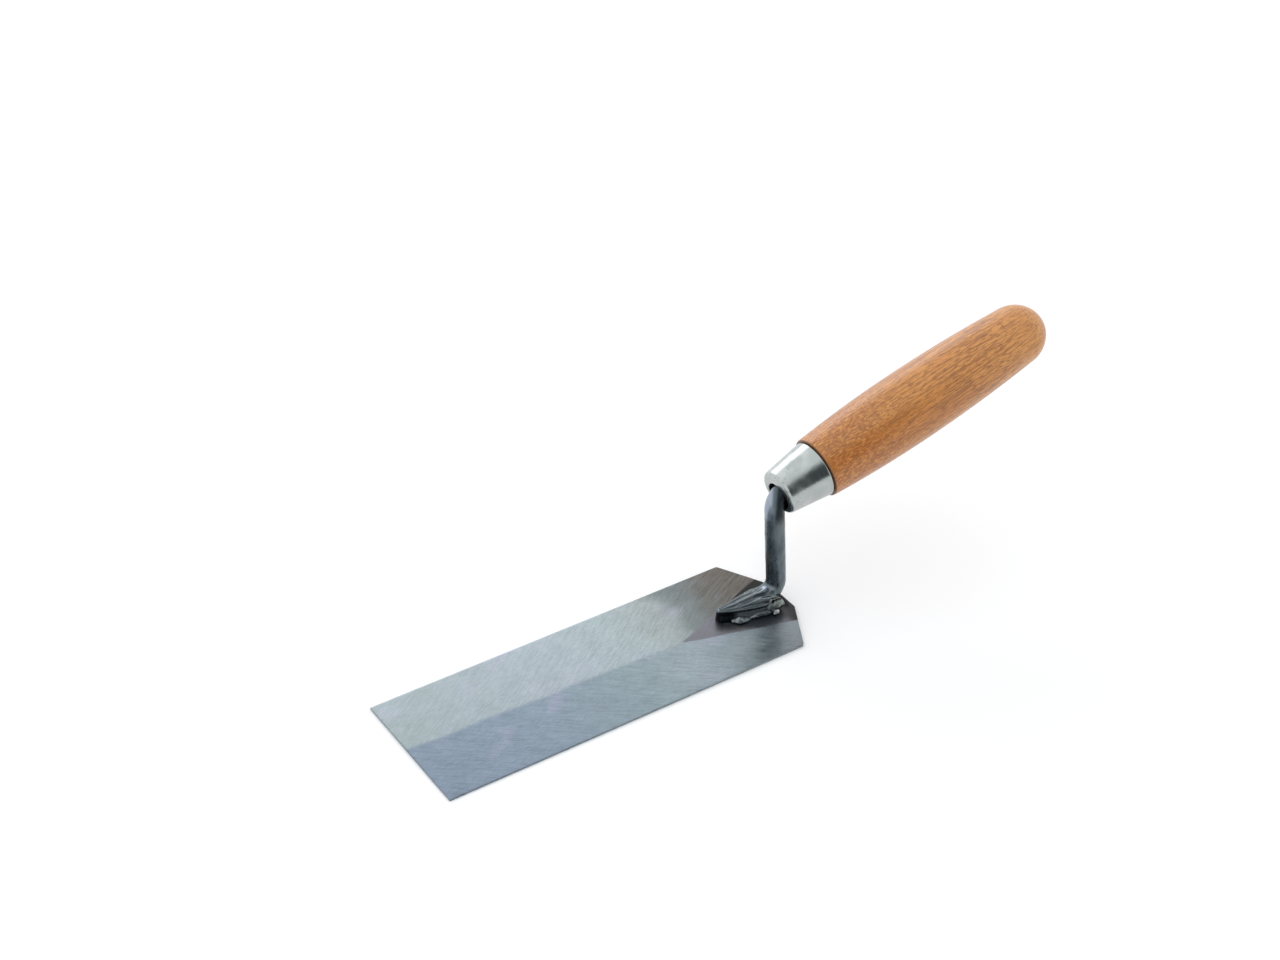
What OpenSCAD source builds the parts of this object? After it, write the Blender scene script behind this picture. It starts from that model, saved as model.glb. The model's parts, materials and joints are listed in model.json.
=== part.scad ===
// Margin trowel: a flat steel blade, a cranked forged shank and a turned wooden handle.
// Millimetres. The origin is the centre of the blade's flat underside, +X points to the toe,
// and +Z to the side that the handle is on.

/* [Blade] */
// Length of the blade, toe to heel
blade_length = 150; // [120:5:180]
// Width of the blade
blade_width = 50; // [40:1:70]
// Width of the straight heel edge between the two chamfered corners
heel_width = 14.5; // [12:0.5:20]
// Length of each chamfered heel corner, along the blade
heel_chamfer = 10; // [6:0.5:14]
// Thickness of the flat round the foot, which the two ground facets leave
flat_thickness = 0.9; // [0.8:0.1:1.6]
// How much thinner the blade is at the middle of the toe
toe_fall = 0.25; // [0.1:0.05:0.35]
// Distance of the flat's pointed end from the heel edge
flat_reach = 45.5; // [40:0.5:60]
// How far the flat reaches from the blade's middle at the heel, on the far side
flat_far = 13; // [12:0.5:22]
// How far the flat reaches from the blade's middle at the heel, on the near side
flat_near = 15; // [12:0.5:22]
// How far to the near side of the blade's middle the flat's pointed end lies
ridge_offset = 2.5; // [0:0.1:3]
// How far the ridge from there to the toe strays to the far side
ridge_drift = 3.7; // [0:0.1:5]

/* [Shank] */
// Diameter of the shank's rod
rod_d = 7; // [6:0.5:7]
// Distance of the riser's foot from the heel edge
riser_inset = 2.9; // [2.8:0.1:4]
// How far the riser leans towards the toe, in degrees
riser_lean = 7.1; // [4:0.1:8]
// Radius of the lower bend, on the rod's centre line
foot_bend_r = 5; // [4.5:0.5:6]
// Radius of the gooseneck bend, on the rod's centre line
neck_bend_r = 7.5; // [6:0.5:7.5]
// Length of the tang inside the wood
tang_length = 62; // [40:1:80]

/* [Foot] */
// Length of the pointed foot, from its widest place to its tip
foot_length = 20.5; // [16:0.5:26]
// Width of the foot at its widest
foot_width = 11.6; // [9:0.2:13]
// Width of the foot's blunt tip
tip_width = 2.4; // [1.6:0.1:4]
// Height of the foot's tip above the blade's underside
tip_height = 4.8; // [3.5:0.1:5.5]
// Height of the foot's crest where it meets the riser
crest_height = 7.6; // [6:0.1:8]
// How far the foot's crest strays to the far side on its way from the tip to the riser
crest_drift = 2.5; // [0:0.5:3]
// Fall of the foot's top for each millimetre away from its crest
crown_slope = 0.3; // [0.1:0.05:0.35]

/* [Handle] */
// Angle between the handle's axis and the blade, in degrees
handle_angle = 16.15; // [12:0.05:20]
// Height at which the riser's and the handle's centre lines meet
neck_height = 47.1; // [40:0.1:55]
// Length of the wood behind the ferrule
grip_length = 101; // [90:0.1:120]
// Largest diameter of the grip
grip_d = 25.6; // [24:0.1:30]
// Diameter of the grip's front shoulder
shoulder_d = 22; // [21.4:0.1:22.4]

/* [Ferrule] */
// Length of the ferrule
ferrule_length = 16.2; // [12:0.1:20]
// Diameter of the ferrule's closed front end
ferrule_front_d = 16.3; // [15:0.1:18]
// Diameter of the ferrule's open back end
ferrule_back_d = 20.4; // [19:0.1:20.8]
// Thickness of the ferrule's wall
ferrule_wall = 0.8; // [0.6:0.1:1.2]

/* [Hidden] */
$fn = 96;
big = 400;

heel_x = -blade_length / 2;
toe_x = blade_length / 2;
rod_r = rod_d / 2;

// Seen from above, the flat is a triangle. Its point is where the ridge to the toe starts.
flat_point = [heel_x + flat_reach, ridge_offset];
ridge_end = [toe_x, ridge_offset - ridge_drift];
far_root = [heel_x, -flat_far];
near_root = [heel_x, flat_near];

// The riser's centre line runs from a corner in the foot up to the corner of the gooseneck.
foot_axis_z = 4.3;
riser_length = (neck_height - foot_axis_z) / cos(riser_lean);
low_corner = [heel_x + riser_inset, foot_axis_z];
high_corner = low_corner + riser_length * [sin(riser_lean), cos(riser_lean)];
foot_turn = 90 + riser_lean;
neck_turn = 90 + riser_lean - handle_angle;
foot_tangent = foot_bend_r * tan(foot_turn / 2);
neck_tangent = neck_bend_r * tan(neck_turn / 2);
joint_proud = 0.02;

// The foot is widest beside the riser, and narrows in two arcs to its blunt tip.
foot_wide_x = heel_x + 7.5;
foot_tip_x = foot_wide_x + foot_length;
foot_side_fall = (foot_width - tip_width) / 2;
foot_arc_r = (pow(foot_length, 2) + pow(foot_side_fall, 2)) / (2 * foot_side_fall);
foot_skirt = 0.6;

// Heights along the handle's axis are counted from the ferrule's front face to the butt.
ferrule_offset = 1.5;
ferrule_edge_r = 1.3;
tang_hole_r = 5;
tang_hole_depth = 6;
tang_hole_drop = 1.4;
tang_end_r = 2;
bend_end = neck_tangent - ferrule_offset;
seam_gap = 0.8;
shoulder_round = 0.5;
grip_start = ferrule_length + seam_gap;
grip_end = grip_start + grip_length;
grip_peak = grip_start + 42.4;
cap_length = 12;
cap_start = grip_end - cap_length;
cap_fall = 1.7;
profile_step = 4;

// Radius of the grip's long curve at height h, largest at grip_peak.
function barrel_r(h) = grip_d / 2 - (h < grip_peak
    ? (grip_d - shoulder_d) / 2 * pow((grip_peak - h) / (grip_peak - grip_start), 2)
    : cap_fall * pow((h - grip_peak) / (cap_start - grip_peak), 2));

// Points of an elliptical quarter arc that closes the grip at the butt.
function cap_points() = [for (a = [0 : 7.5 : 90])
    [barrel_r(cap_start) * cos(a), cap_start + cap_length * sin(a)]];

function barrel_points() = [for (h = [grip_start + shoulder_round : profile_step : cap_start - 1])
    [barrel_r(h), h]];

// Slopes along X and Y of the facet that leaves the flat along the line from its point to root,
// and that has fallen by toe_fall at the end of the ridge.
function facet_slopes(root) =
    let (side = root - flat_point, ridge = ridge_end - flat_point,
         area = side[0] * ridge[1] - side[1] * ridge[0])
    [side[1], -side[0]] * toe_fall / area;

// Slopes along X and Y of the side of the foot's top that falls by cross for each millimetre in Y.
function crown_slopes(cross) =
    [-(crest_height - tip_height + cross * crest_drift) / foot_length, cross];

// Everything below a plane through point, with these slopes along X and Y.
module below_plane(point, slopes) {
    translate(point)
        rotate([atan(slopes[1]), -atan(slopes[0]), 0])
            translate([-big / 2, -big / 2, -big])
                cube(big);
}

module below_facet(root) {
    below_plane([flat_point[0], flat_point[1], flat_thickness], facet_slopes(root));
}

module blade_outline() {
    side = blade_width / 2;
    heel = heel_width / 2;
    polygon([[toe_x, -side], [toe_x, side], [heel_x + heel_chamfer, side], [heel_x, heel],
             [heel_x, -heel], [heel_x + heel_chamfer, -side]]);
}

module blade_solid() {
    intersection() {
        linear_extrude(flat_thickness) blade_outline();
        below_facet(far_root);
        below_facet(near_root);
    }
}

// Places a child drawn round +Z on the handle's axis, from the ferrule's front face on.
module on_handle_axis() {
    translate([high_corner[0], 0, high_corner[1]])
        rotate([0, handle_angle - 90, 0])
            translate([0, 0, ferrule_offset])
                children();
}

// A bend of the rod in the XZ plane, round centre and from angle start on.
module rod_bend(centre, bend_r, start, sweep) {
    translate([centre[0], 0, centre[1]])
        rotate([90, 0, 0])
            rotate([0, 0, start])
                rotate_extrude(angle = sweep)
                    translate([bend_r, 0]) circle(r = rod_r);
}

// A ball a hair wider than the rod, where a bend of it meets a straight stretch.
module rod_joint() {
    sphere(r = rod_r + joint_proud);
}

module riser() {
    straight = riser_length - foot_tangent - neck_tangent;
    translate([low_corner[0], 0, low_corner[1]])
        rotate([0, riser_lean, 0])
            translate([0, 0, foot_tangent]) {
                rod_joint();
                cylinder(h = straight, r = rod_r);
                translate([0, 0, straight]) rod_joint();
            }
}

module rod() {
    up = [sin(riser_lean), cos(riser_lean)];
    towards_butt = [-cos(riser_lean), sin(riser_lean)];
    neck_centre = high_corner - neck_tangent * up + neck_bend_r * towards_butt;
    rod_bend(low_corner + [foot_tangent, foot_bend_r], foot_bend_r, 180 - riser_lean, foot_turn);
    riser();
    rod_bend(neck_centre, neck_bend_r, -riser_lean, neck_turn);
    on_handle_axis() translate([0, 0, bend_end]) rod_joint();
}

// The round hole for the rod, a little below the handle's axis because the rod still bends there.
module tang_hole() {
    on_handle_axis()
        translate([-tang_hole_drop, 0, -1])
            cylinder(h = tang_hole_depth + 1, r = tang_hole_r);
}

// The straight end of the rod and its taper, which the wood holds.
module tang() {
    on_handle_axis()
        rotate_extrude()
            polygon([[0, bend_end], [rod_r, bend_end], [rod_r, tang_hole_depth],
                     [tang_end_r, tang_hole_depth + tang_length],
                     [0, tang_hole_depth + tang_length]]);
}

// The pointed foot: its top rises from the tip to the riser, and falls to both sides of a crest.
module foot() {
    centre_y = foot_width / 2 - foot_arc_r;
    tip = [foot_tip_x, 0, tip_height];
    intersection() {
        linear_extrude(crest_height + 1)
            intersection() {
                translate([foot_wide_x, centre_y]) circle(r = foot_arc_r);
                translate([foot_wide_x, -centre_y]) circle(r = foot_arc_r);
                translate([foot_wide_x, -foot_width]) square([foot_length, 2 * foot_width]);
            }
        below_plane(tip, crown_slopes(crown_slope));
        below_plane(tip, crown_slopes(-crown_slope));
    }
    translate([foot_wide_x, 0, 0])
        cylinder(h = crest_height, r1 = foot_width / 2 + foot_skirt, r2 = rod_r);
}

module shank_solid() {
    difference() {
        union() {
            foot();
            rod();
            tang();
        }
        blade_solid();
        translate([-big / 2, -big / 2, -big]) cube(big);
    }
}

// A run of count overlapping beads from one place to another beside the foot, their centres in
// the flat's surface.
module weld_run(from, to, count, bead_r) {
    difference() {
        for (i = [0 : count - 1]) {
            place = from + (to - from) * i / (count - 1);
            translate([place[0], place[1], flat_thickness])
                rotate([0, 90, 0]) sphere(r = bead_r, $fn = 32);
        }
        blade_solid();
        shank_solid();
        translate([-big / 2, -big / 2, -big]) cube(big);
    }
}

module blade() {
    color([0.66, 0.73, 0.75]) blade_solid();
}

module shank() {
    color([0.35, 0.39, 0.41]) shank_solid();
}

module near_toe_weld() {
    color([0.45, 0.48, 0.5])
        weld_run([foot_wide_x + 15.8, 3.4], [foot_wide_x + 7.2, 5.4], 5, 2.4);
}

module near_heel_weld() {
    color([0.45, 0.48, 0.5])
        weld_run([foot_wide_x + 1.8, 6], [foot_wide_x - 3.8, 4.9], 4, 2.6);
}

module far_weld() {
    color([0.3, 0.32, 0.33])
        weld_run([foot_wide_x + 9.6, -5], [foot_wide_x - 3.4, -5.6], 5, 2.1);
}

// A drawn cup: its closed front end has the tang's hole, and its edge there is rounded.
module ferrule() {
    front_r = ferrule_front_d / 2;
    back_r = ferrule_back_d / 2;
    edge = [for (a = [-90 : 15 : 0])
        [front_r - ferrule_edge_r + ferrule_edge_r * cos(a), ferrule_edge_r * (1 + sin(a))]];
    color([0.78, 0.8, 0.8])
        difference() {
            on_handle_axis()
                rotate_extrude()
                    polygon(concat([[0, 0]], edge,
                                   [[back_r, ferrule_length],
                                    [back_r - ferrule_wall, ferrule_length],
                                    [front_r - ferrule_wall, ferrule_wall], [0, ferrule_wall]]));
            tang_hole();
        }
}

// The turned grip, its nose in the ferrule, and the tapered hole that the tang is driven into.
module handle() {
    nose_front_r = ferrule_front_d / 2 - ferrule_wall;
    nose_back_r = ferrule_back_d / 2 - ferrule_wall;
    shoulder_r = barrel_r(grip_start);
    color([0.72, 0.5, 0.31])
        difference() {
            on_handle_axis()
                rotate_extrude()
                    polygon(concat([[0, ferrule_wall], [nose_front_r, ferrule_wall],
                                    [nose_back_r, ferrule_length], [nose_back_r, grip_start],
                                    [shoulder_r - shoulder_round, grip_start]],
                                   barrel_points(), cap_points()));
            tang_hole();
            tang();
        }
}

blade();
shank();
near_toe_weld();
near_heel_weld();
far_weld();
ferrule();
handle();
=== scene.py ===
"""Looks of the margin trowel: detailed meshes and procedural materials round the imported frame."""

import json
import math

import bpy
from mathutils import Matrix, Quaternion, Vector, noise


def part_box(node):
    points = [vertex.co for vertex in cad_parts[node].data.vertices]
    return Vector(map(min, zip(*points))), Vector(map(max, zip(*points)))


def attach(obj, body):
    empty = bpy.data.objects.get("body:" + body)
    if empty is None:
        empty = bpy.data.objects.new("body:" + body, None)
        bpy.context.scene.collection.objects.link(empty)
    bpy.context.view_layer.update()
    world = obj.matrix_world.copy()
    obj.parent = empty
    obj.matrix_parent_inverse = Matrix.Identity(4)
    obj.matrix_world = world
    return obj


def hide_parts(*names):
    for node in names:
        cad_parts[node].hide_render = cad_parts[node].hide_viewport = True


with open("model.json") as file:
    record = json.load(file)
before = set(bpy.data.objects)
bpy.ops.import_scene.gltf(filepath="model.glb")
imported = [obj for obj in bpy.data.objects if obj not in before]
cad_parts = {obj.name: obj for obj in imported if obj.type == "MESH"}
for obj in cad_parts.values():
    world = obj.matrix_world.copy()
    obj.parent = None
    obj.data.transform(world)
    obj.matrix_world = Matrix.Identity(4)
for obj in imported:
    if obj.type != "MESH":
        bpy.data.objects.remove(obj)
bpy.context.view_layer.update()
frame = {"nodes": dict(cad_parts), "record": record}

scene = bpy.context.scene
scene.view_settings.view_transform = "Standard"

MM = 0.001
nodes = frame["nodes"]
mounts = {mount["name"]: mount for mount in frame["record"]["mounts"]}

# ---------------------------------------------------------------- camera, floor and light

CAMERA_PLACE = Vector((0.3197, 0.4382, 0.4698))
CAMERA_LOOK = Vector((-0.488, -0.6485, -0.5843))
CAMERA_ROLL = math.radians(3.32)
CAMERA_LENS = 60.28

ROOM_STRENGTH = 1.28
ROOM_COLOUR = (0.92, 0.94, 0.96, 1)
ROOM_SEEN_COLOUR = (0.98, 0.98, 0.98, 1)

# The dark wall: its direction, and the cosines and heights that it fades in and out between.
WALL_COLOUR = (0.07, 0.08, 0.085, 1)
WALL_DIRECTION = (0.035, 0.999, 0)
WALL_SPAN = (0.89, 0.975)
WALL_FOOT = (-0.04, 0.03)
WALL_HEAD = (1.0, 0.65)

WINDOW_PLACE = (-0.26, -1.52, 0.85)
WINDOW_SIZE = (1.3, 1.0)
WINDOW_POWER = 6
LIGHT_AIM = Vector((-0.03, 0, 0.03))

FLOOR_HALF = 8.0
FLOOR_DROP = 0.0002
FLOOR_COLOUR = (0.9, 0.9, 0.9, 1)


def make_camera():
    """The camera stands beyond the toe, above the near side."""
    data = bpy.data.cameras.new("camera")
    data.lens = CAMERA_LENS
    data.clip_start = 0.01
    camera = bpy.data.objects.new("camera", data)
    scene.collection.objects.link(camera)
    camera.location = CAMERA_PLACE
    camera.rotation_mode = "QUATERNION"
    roll = Quaternion((0, 0, 1), CAMERA_ROLL)
    camera.rotation_quaternion = CAMERA_LOOK.to_track_quat("-Z", "Y") @ roll
    scene.camera = camera


def add_node(tree, kind, inputs=None, **settings):
    """Adds a shader node. Inputs go by name or number: a socket is linked, and a value is set."""
    made = tree.nodes.new("ShaderNode" + kind)
    for name, value in settings.items():
        setattr(made, name, value)
    for name, value in (inputs or {}).items():
        if isinstance(value, bpy.types.NodeSocket):
            tree.links.new(value, made.inputs[name])
        else:
            made.inputs[name].default_value = value
    return made


def calc(tree, operation, a, b=0.0):
    """One step of arithmetic on two values."""
    return add_node(tree, "Math", {0: a, 1: b}, operation=operation).outputs[0]


def times(tree, *factors):
    """The product of any number of values."""
    product = factors[0]
    for factor in factors[1:]:
        product = calc(tree, "MULTIPLY", product, factor)
    return product


def swing(tree, noise_value, amount):
    """Noise round a half, made into a value that swings round zero by the given amount."""
    return times(tree, calc(tree, "SUBTRACT", noise_value, 0.5), amount)


def fade(tree, value, low, high, to_low=0.0, to_high=1.0):
    """Goes smoothly from to_low to to_high while value goes from low to high."""
    inputs = {"Value": value, "From Min": low, "From Max": high, "To Min": to_low, "To Max": to_high}
    return add_node(tree, "MapRange", inputs, interpolation_type="SMOOTHSTEP").outputs[0]


def mix(tree, factor, a, b):
    """Goes from colour a to colour b as the factor goes from 0 to 1."""
    made = add_node(tree, "Mix", {0: factor, 6: a, 7: b}, data_type="RGBA")
    return made.outputs[2]


def ramp(tree, value, stops):
    """A colour ramp through (position, colour) stops."""
    made = add_node(tree, "ValToRGB", {"Fac": value})
    elements = made.color_ramp.elements
    while len(elements) < len(stops):
        elements.new(0.5)
    for element, (position, colour) in zip(elements, stops):
        element.position = position
        element.color = colour
    return made.outputs["Color"]


def srgb(red, green, blue):
    """A linear colour from 0-255 display values."""
    def linear(c):
        c /= 255
        return c / 12.92 if c <= 0.04045 else ((c + 0.055) / 1.055) ** 2.4

    return (linear(red), linear(green), linear(blue), 1.0)


def make_world():
    """A white room with one narrow dark wall on the tool's near side, for the metals to mirror."""
    world = bpy.data.worlds.new("studio")
    scene.world = world
    world.use_nodes = True
    tree = world.node_tree
    tree.nodes.clear()
    direction = add_node(tree, "TexCoord").outputs["Generated"]
    height = add_node(tree, "SeparateXYZ", {0: direction}).outputs["Z"]

    level = add_node(tree, "VectorMath", {0: direction, 1: (1, 1, 0)}, operation="MULTIPLY").outputs[0]
    level = add_node(tree, "VectorMath", {0: level}, operation="NORMALIZE").outputs[0]
    nearness = add_node(tree, "VectorMath", {0: level, 1: WALL_DIRECTION}, operation="DOT_PRODUCT")
    wall = times(tree, fade(tree, nearness.outputs["Value"], *WALL_SPAN),
                 fade(tree, height, *WALL_FOOT), fade(tree, height, *WALL_HEAD))
    room = mix(tree, wall, ROOM_COLOUR, WALL_COLOUR)
    seen = add_node(tree, "LightPath").outputs["Is Camera Ray"]
    colour = mix(tree, seen, room, ROOM_SEEN_COLOUR)
    background = add_node(tree, "Background", {"Color": colour, "Strength": ROOM_STRENGTH})
    output = add_node(tree, "OutputWorld")
    tree.links.new(background.outputs[0], output.inputs["Surface"])


def soft_light(name, place, size, power):
    """A rectangular light that looks at the tool."""
    data = bpy.data.lights.new(name, "AREA")
    data.shape = "RECTANGLE"
    data.size, data.size_y = size
    data.energy = power
    light = bpy.data.objects.new(name, data)
    scene.collection.objects.link(light)
    light.location = place
    aim = LIGHT_AIM - Vector(place)
    light.rotation_mode = "QUATERNION"
    light.rotation_quaternion = aim.to_track_quat("-Z", "Y")


def new_material(name):
    """A material with only a Principled shader in it so far."""
    material = bpy.data.materials.new(name)
    material.use_nodes = True
    tree = material.node_tree
    tree.nodes.clear()
    shader = add_node(tree, "BsdfPrincipled")
    add_node(tree, "OutputMaterial", {"Surface": shader.outputs[0]})
    return material, tree, shader


def set_shader(tree, shader, **inputs):
    """Links or sets the shader's inputs. An underscore stands for the space in an input's name."""
    for name, value in inputs.items():
        socket = shader.inputs[name.replace("_", " ")]
        if isinstance(value, bpy.types.NodeSocket):
            tree.links.new(value, socket)
        else:
            socket.default_value = value


def make_floor():
    """A plain pale floor just under the tool."""
    corners = [(x * FLOOR_HALF, y * FLOOR_HALF, 0) for x, y in ((-1, -1), (1, -1), (1, 1), (-1, 1))]
    floor = mesh_object("floor", corners, [(0, 1, 2, 3)])
    floor.location.z = -FLOOR_DROP
    material, tree, shader = new_material("floor_paper")
    set_shader(tree, shader, Base_Color=FLOOR_COLOUR, Roughness=0.9)
    floor.data.materials.append(material)


# ---------------------------------------------------------------- mesh helpers


def rise(value, start, end):
    """Goes from 0 to 1 while value goes from start to end, and stays level outside them."""
    return min(max((value - start) / (end - start), 0), 1)


def mesh_object(name, vertices, faces):
    """A new object with smooth shading, from vertices in metres."""
    mesh = bpy.data.meshes.new(name)
    mesh.from_pydata(vertices, [], faces)
    mesh.update()
    mesh.polygons.foreach_set("use_smooth", [True] * len(mesh.polygons))
    made = bpy.data.objects.new(name, mesh)
    scene.collection.objects.link(made)
    return made


def sharpen(piece, degrees):
    """Edges steeper than this stay crisp under smooth shading."""
    piece.data.set_sharp_from_angle(angle=math.radians(degrees))


def keep_values(piece, name, values):
    """Keeps one number for each of a piece's vertices, for its material to read."""
    attribute = piece.data.attributes.new(name, "FLOAT", "POINT")
    attribute.data.foreach_set("value", values)


def settle(piece):
    """Applies a piece's modifiers to its mesh."""
    graph = bpy.context.evaluated_depsgraph_get()
    mesh = bpy.data.meshes.new_from_object(piece.evaluated_get(graph))
    piece.modifiers.clear()
    piece.data = mesh
    mesh.polygons.foreach_set("use_smooth", [True] * len(mesh.polygons))


def arc(centre, radius, start, end, steps):
    """Points on an arc, in degrees."""
    angles = [math.radians(start + (end - start) * i / steps) for i in range(steps + 1)]
    return [(centre[0] + radius * math.cos(a), centre[1] + radius * math.sin(a)) for a in angles]


def lathe(name, profile, steps, closed):
    """Turns (radius, height) points in mm round Z. A point with no radius becomes a pole."""
    vertices, rings = [], []
    for radius, height in profile:
        count = steps if radius > 0 else 1
        rings.append([len(vertices) + i for i in range(count)])
        for i in range(count):
            turn = 2 * math.pi * i / steps
            place = (radius * math.cos(turn), radius * math.sin(turn), height)
            vertices.append(Vector(place) * MM)
    faces = []
    pairs = list(zip(rings, rings[1:]))
    if closed:
        pairs.append((rings[-1], rings[0]))
    for low, high in pairs:
        for i in range(steps):
            j = (i + 1) % steps
            if len(low) == 1:
                faces.append((low[0], high[j], high[i]))
            elif len(high) == 1:
                faces.append((low[i], low[j], high[0]))
            else:
                faces.append((low[i], low[j], high[j], high[i]))
    return mesh_object(name, vertices, faces)


def finish_piece(piece, slot, material, *replaced):
    """Gives a piece its material, and tells the frame where it belongs."""
    piece.data.materials.clear()
    piece.data.materials.append(material)
    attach(piece, "root")
    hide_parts(*replaced)


# ---------------------------------------------------------------- places taken from the frame

grip_axis = Vector(mounts["handle_grip"]["axis"]).normalized()
grip_centre = Vector(mounts["handle_grip"]["pos_m"])


def along_grip(node):
    """Lowest and highest place of a CAD node along the handle's axis, in metres."""
    heights = [(vertex.co - grip_centre).dot(grip_axis) for vertex in nodes[node].data.vertices]
    return min(heights), max(heights)


ferrule_low, ferrule_high = along_grip("ferrule")
grip_high = along_grip("handle")[1]
ferrule_front = grip_centre + grip_axis * ferrule_low

# Turned pieces are drawn round Z from the ferrule's front face, and put in place by this matrix.
side_axis = Vector((0, 1, 0))
upper_axis = side_axis.cross(grip_axis)
grip_frame = Matrix.Translation(ferrule_front) @ Matrix(
    (upper_axis, side_axis, grip_axis)
).transposed().to_4x4()

FERRULE_LENGTH = (ferrule_high - ferrule_low) / MM
GRIP_END = (grip_high - ferrule_low) / MM
blade_low, blade_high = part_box("blade")
BLADE_TOP = blade_high.z / MM
HEEL_X = blade_low.x / MM
TOE_X = blade_high.x / MM


# ---------------------------------------------------------------- blade

BLADE_GRID = 0.6
RIDGE_BLEND = 0.008
RIDGE_WAVER = 1.0
WAVER_PACE = (0.07, 0.03)
WAVER_SEED = 3.7
EDGE_BEVEL = 0.1
EDGE_ANGLE = 30


def blade_planes():
    """The near facet, the flat and the far facet, as (slope x, slope y, height at the origin)."""
    planes = []
    upper_faces = [face for face in nodes["blade"].data.polygons if face.normal.z > 0.9]
    for face in upper_faces:
        slope = Vector((-face.normal.x, -face.normal.y)) / face.normal.z
        height = (face.center.z - slope.x * face.center.x - slope.y * face.center.y) / MM
        if all(abs(slope.x - p[0]) + abs(slope.y - p[1]) > 1e-3 for p in planes):
            planes.append((slope.x, slope.y, height))
    return sorted(planes, key=lambda plane: plane[1])


def plane_height(plane, x, y):
    """Height of a blade plane over a place, in mm."""
    return plane[0] * x + plane[1] * y + plane[2]


def past_crossing(a, b, x, y):
    """How far, in mm, a place lies on the side where plane b is higher than plane a."""
    steepness = math.hypot(a[0] - b[0], a[1] - b[1])
    return (plane_height(b, x, y) - plane_height(a, x, y)) / steepness


def soft_least(a, b, blend):
    """The smaller of two heights, rounded over where they cross."""
    part = max(blend - abs(a - b), 0) / blend
    return min(a, b) - part * part * blend / 4


def blade_corners():
    """Half the blade's width, half the heel's width, and where the heel's chamfers end."""
    points = [vertex.co / MM for vertex in nodes["blade"].data.vertices]
    side = max(p.y for p in points)
    heel_half = max(p.y for p in points if p.x < HEEL_X + 0.01)
    chamfer_x = min(p.x for p in points if p.y > side - 0.01)
    return side, heel_half, chamfer_x


def make_blade():
    """A ground plate on a fine grid, which keeps how far each place is from the ground edges."""
    near, flat, far = blade_planes()
    side, heel_half, chamfer_x = blade_corners()
    columns = round((TOE_X - HEEL_X) / BLADE_GRID)
    rows = round(2 * side / BLADE_GRID)
    top, bottom, past_ridge, past_flat = [], [], [], []
    for i in range(columns + 1):
        x = HEEL_X + (TOE_X - HEEL_X) * i / columns
        half = heel_half + (side - heel_half) * rise(x, HEEL_X, chamfer_x)
        for j in range(rows + 1):
            y = half * (2 * j / rows - 1)
            pace = Vector((x * WAVER_PACE[0], WAVER_SEED, y * WAVER_PACE[1]))
            waver = RIDGE_WAVER * noise.noise(pace)
            facets = [plane_height(plane, x, y + waver) for plane in (near, far)]
            ground = soft_least(*facets, RIDGE_BLEND)
            height = soft_least(ground, flat[2], RIDGE_BLEND / 2)
            top.append(Vector((x, y, height)) * MM)
            bottom.append(Vector((x, y, 0)) * MM)
            past_ridge.append(past_crossing(near, far, x, y + waver))
            past_flat.append(min(past_crossing(flat, near, x, y + waver),
                                 past_crossing(flat, far, x, y + waver)))
    across = rows + 1
    under = len(top)
    faces = []
    for i in range(columns):
        for j in range(rows):
            a = i * across + j
            corners = (a, a + across, a + across + 1, a + 1)
            faces.append(corners)
            faces.append(tuple(under + k for k in reversed(corners)))
    rim = list(range(across))
    rim += [i * across + rows for i in range(1, columns + 1)]
    rim += [columns * across + j for j in range(rows - 1, -1, -1)]
    rim += [i * across for i in range(columns - 1, 0, -1)]
    for a, b in zip(rim, rim[1:] + rim[:1]):
        faces.append((a, b, under + b, under + a))
    blade = mesh_object("blade_plate", top + bottom, faces)
    keep_values(blade, "past_ridge", past_ridge * 2)
    keep_values(blade, "past_flat", past_flat * 2)
    bevel = blade.modifiers.new("arris", "BEVEL")
    bevel.width = EDGE_BEVEL * MM
    bevel.segments = 2
    bevel.limit_method = "ANGLE"
    bevel.angle_limit = math.radians(EDGE_ANGLE)
    settle(blade)
    sharpen(blade, 50)
    return blade


# ---------------------------------------------------------------- shank

ROD_R = 3.5
FOOT_AXIS_Z = 4.3
RISER_INSET = 2.9
FOOT_BEND = 5.0
NECK_BEND = 7.5
NECK_OFFSET = 1.5
TANG_START = 6.0
TANG_END = 68.0
TANG_END_R = 2.0
FORGE_VOXEL = 0.21

FOOT_WIDE_X = HEEL_X + 7.5
FOOT_LENGTH = 20.5
FOOT_TAIL = 4.9
FOOT_STEPS = 60
FOOT_HALF = 5.8
FOOT_TIP_HALF = 1.2
FOOT_TIP_Z = 5.3
FOOT_TIP_Y = -0.6
FOOT_SUNK = 0.3
HEEL_ROUNDING = 1.35
TIP_ROUND_START = 0.97
TIP_ROUND_HALF = 0.4

# The folds of the foot's top. It draws in towards the riser over the length DRAW_IN.
FOOT_CREST_Z = 7.4
FOOT_NEAR_Z = 5.2
FOOT_FAR_Z = 4.6
CREST_Y = 0.8
CREST_TIP_Y = -0.4
CREST_TAIL_DROP = 2.5
FOLD_Y = -0.6
FOLD_DROP = 1.2
FOLD_DROP_TIP = 0.3
DRAW_IN = 4.0
NEAR_DRAW_IN = 1.8
FAR_DRAW_IN = 1.2
NEAR_SHARE = 1.06
NEAR_TIP_PULL = 0.6
FAR_SHARE = 0.76


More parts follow.
